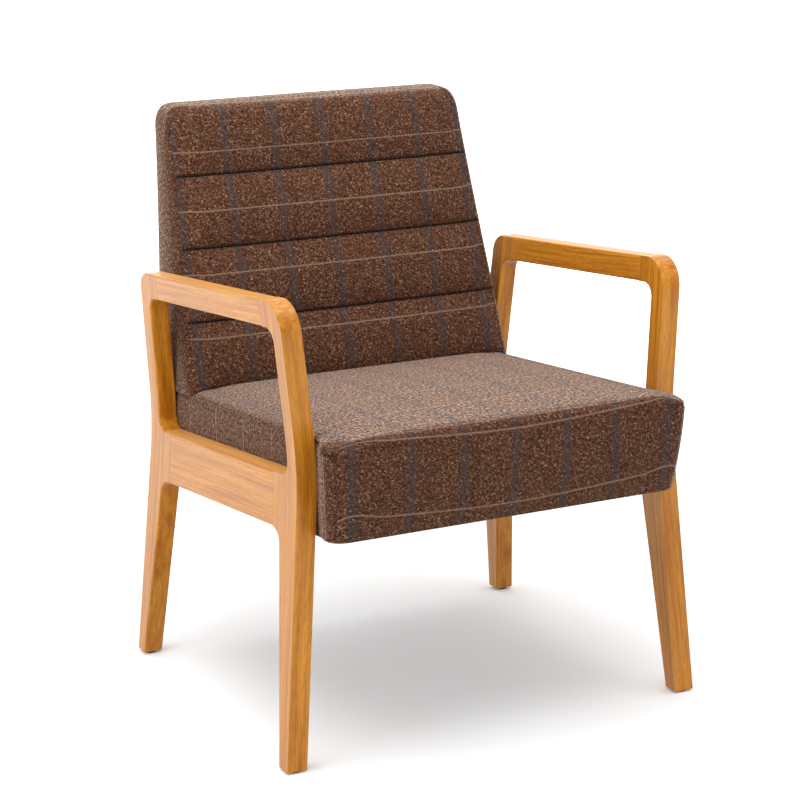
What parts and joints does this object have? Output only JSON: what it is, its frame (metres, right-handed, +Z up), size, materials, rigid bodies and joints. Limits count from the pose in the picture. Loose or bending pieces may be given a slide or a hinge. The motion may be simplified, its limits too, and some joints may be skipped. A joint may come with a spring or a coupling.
{
  "type": "lounge chair",
  "caption": "Lounge chair with splayed oak side frames that form legs and arms, a tweed block seat and a reclined back with horizontal sewn channels.",
  "frame": {"origin": "on the floor, under the middle of the chair's bounding box", "axes": "+X to the right of someone facing the chair, +Y from the front to the back, +Z up"},
  "size_m": [0.6446, 0.6568, 0.807],
  "materials": {
    "oak_legs": "satin lacquered oak, grain along the leg",
    "oak_rails": "satin lacquered oak, grain along the rail",
    "beech": "sawn, unfinished beech",
    "tweed": "woven brown wool tweed with a blue-grey and cream overcheck",
    "foam": "open-cell foam",
    "webbing": "elastic webbing",
    "dust_cloth": "black non-woven cloth",
    "glide_plastic": "moulded",
    "zinc_steel": "zinc plated",
    "insert_brass": "turned"
  },
  "bodies": {
    "root": {"front_leg_left": "oak_legs", "front_leg_right": "oak_legs", "rear_leg_left": "oak_legs", "rear_leg_right": "oak_legs", "arm_left": "oak_rails", "arm_right": "oak_rails", "side_rail_left": "oak_rails", "side_rail_right": "oak_rails", "frame_dowels_left": "beech", "frame_dowels_right": "beech", "foot_glides": "glide_plastic", "seat_front_rail": "beech", "seat_rear_rail": "beech", "seat_side_rail_left": "beech", "seat_side_rail_right": "beech", "seat_corner_blocks": "beech", "seat_dowels": "beech", "seat_webbing_across": "webbing", "seat_webbing_along": "webbing", "seat_foam": "foam", "seat_cover": "tweed", "seat_dust_cover": "dust_cloth", "back_stile_left": "beech", "back_stile_right": "beech", "back_top_rail": "beech", "back_middle_rail": "beech", "back_bottom_rail": "beech", "back_dowels": "beech", "back_webbing": "webbing", "back_foam": "foam", "back_cover": "tweed", "frame_bolts_left": "zinc_steel", "frame_bolts_right": "zinc_steel", "frame_washers": "zinc_steel", "frame_inserts": "insert_brass", "back_bolts": "zinc_steel", "back_washers": "zinc_steel", "back_nuts": "zinc_steel"}
  },
  "joints": []
}
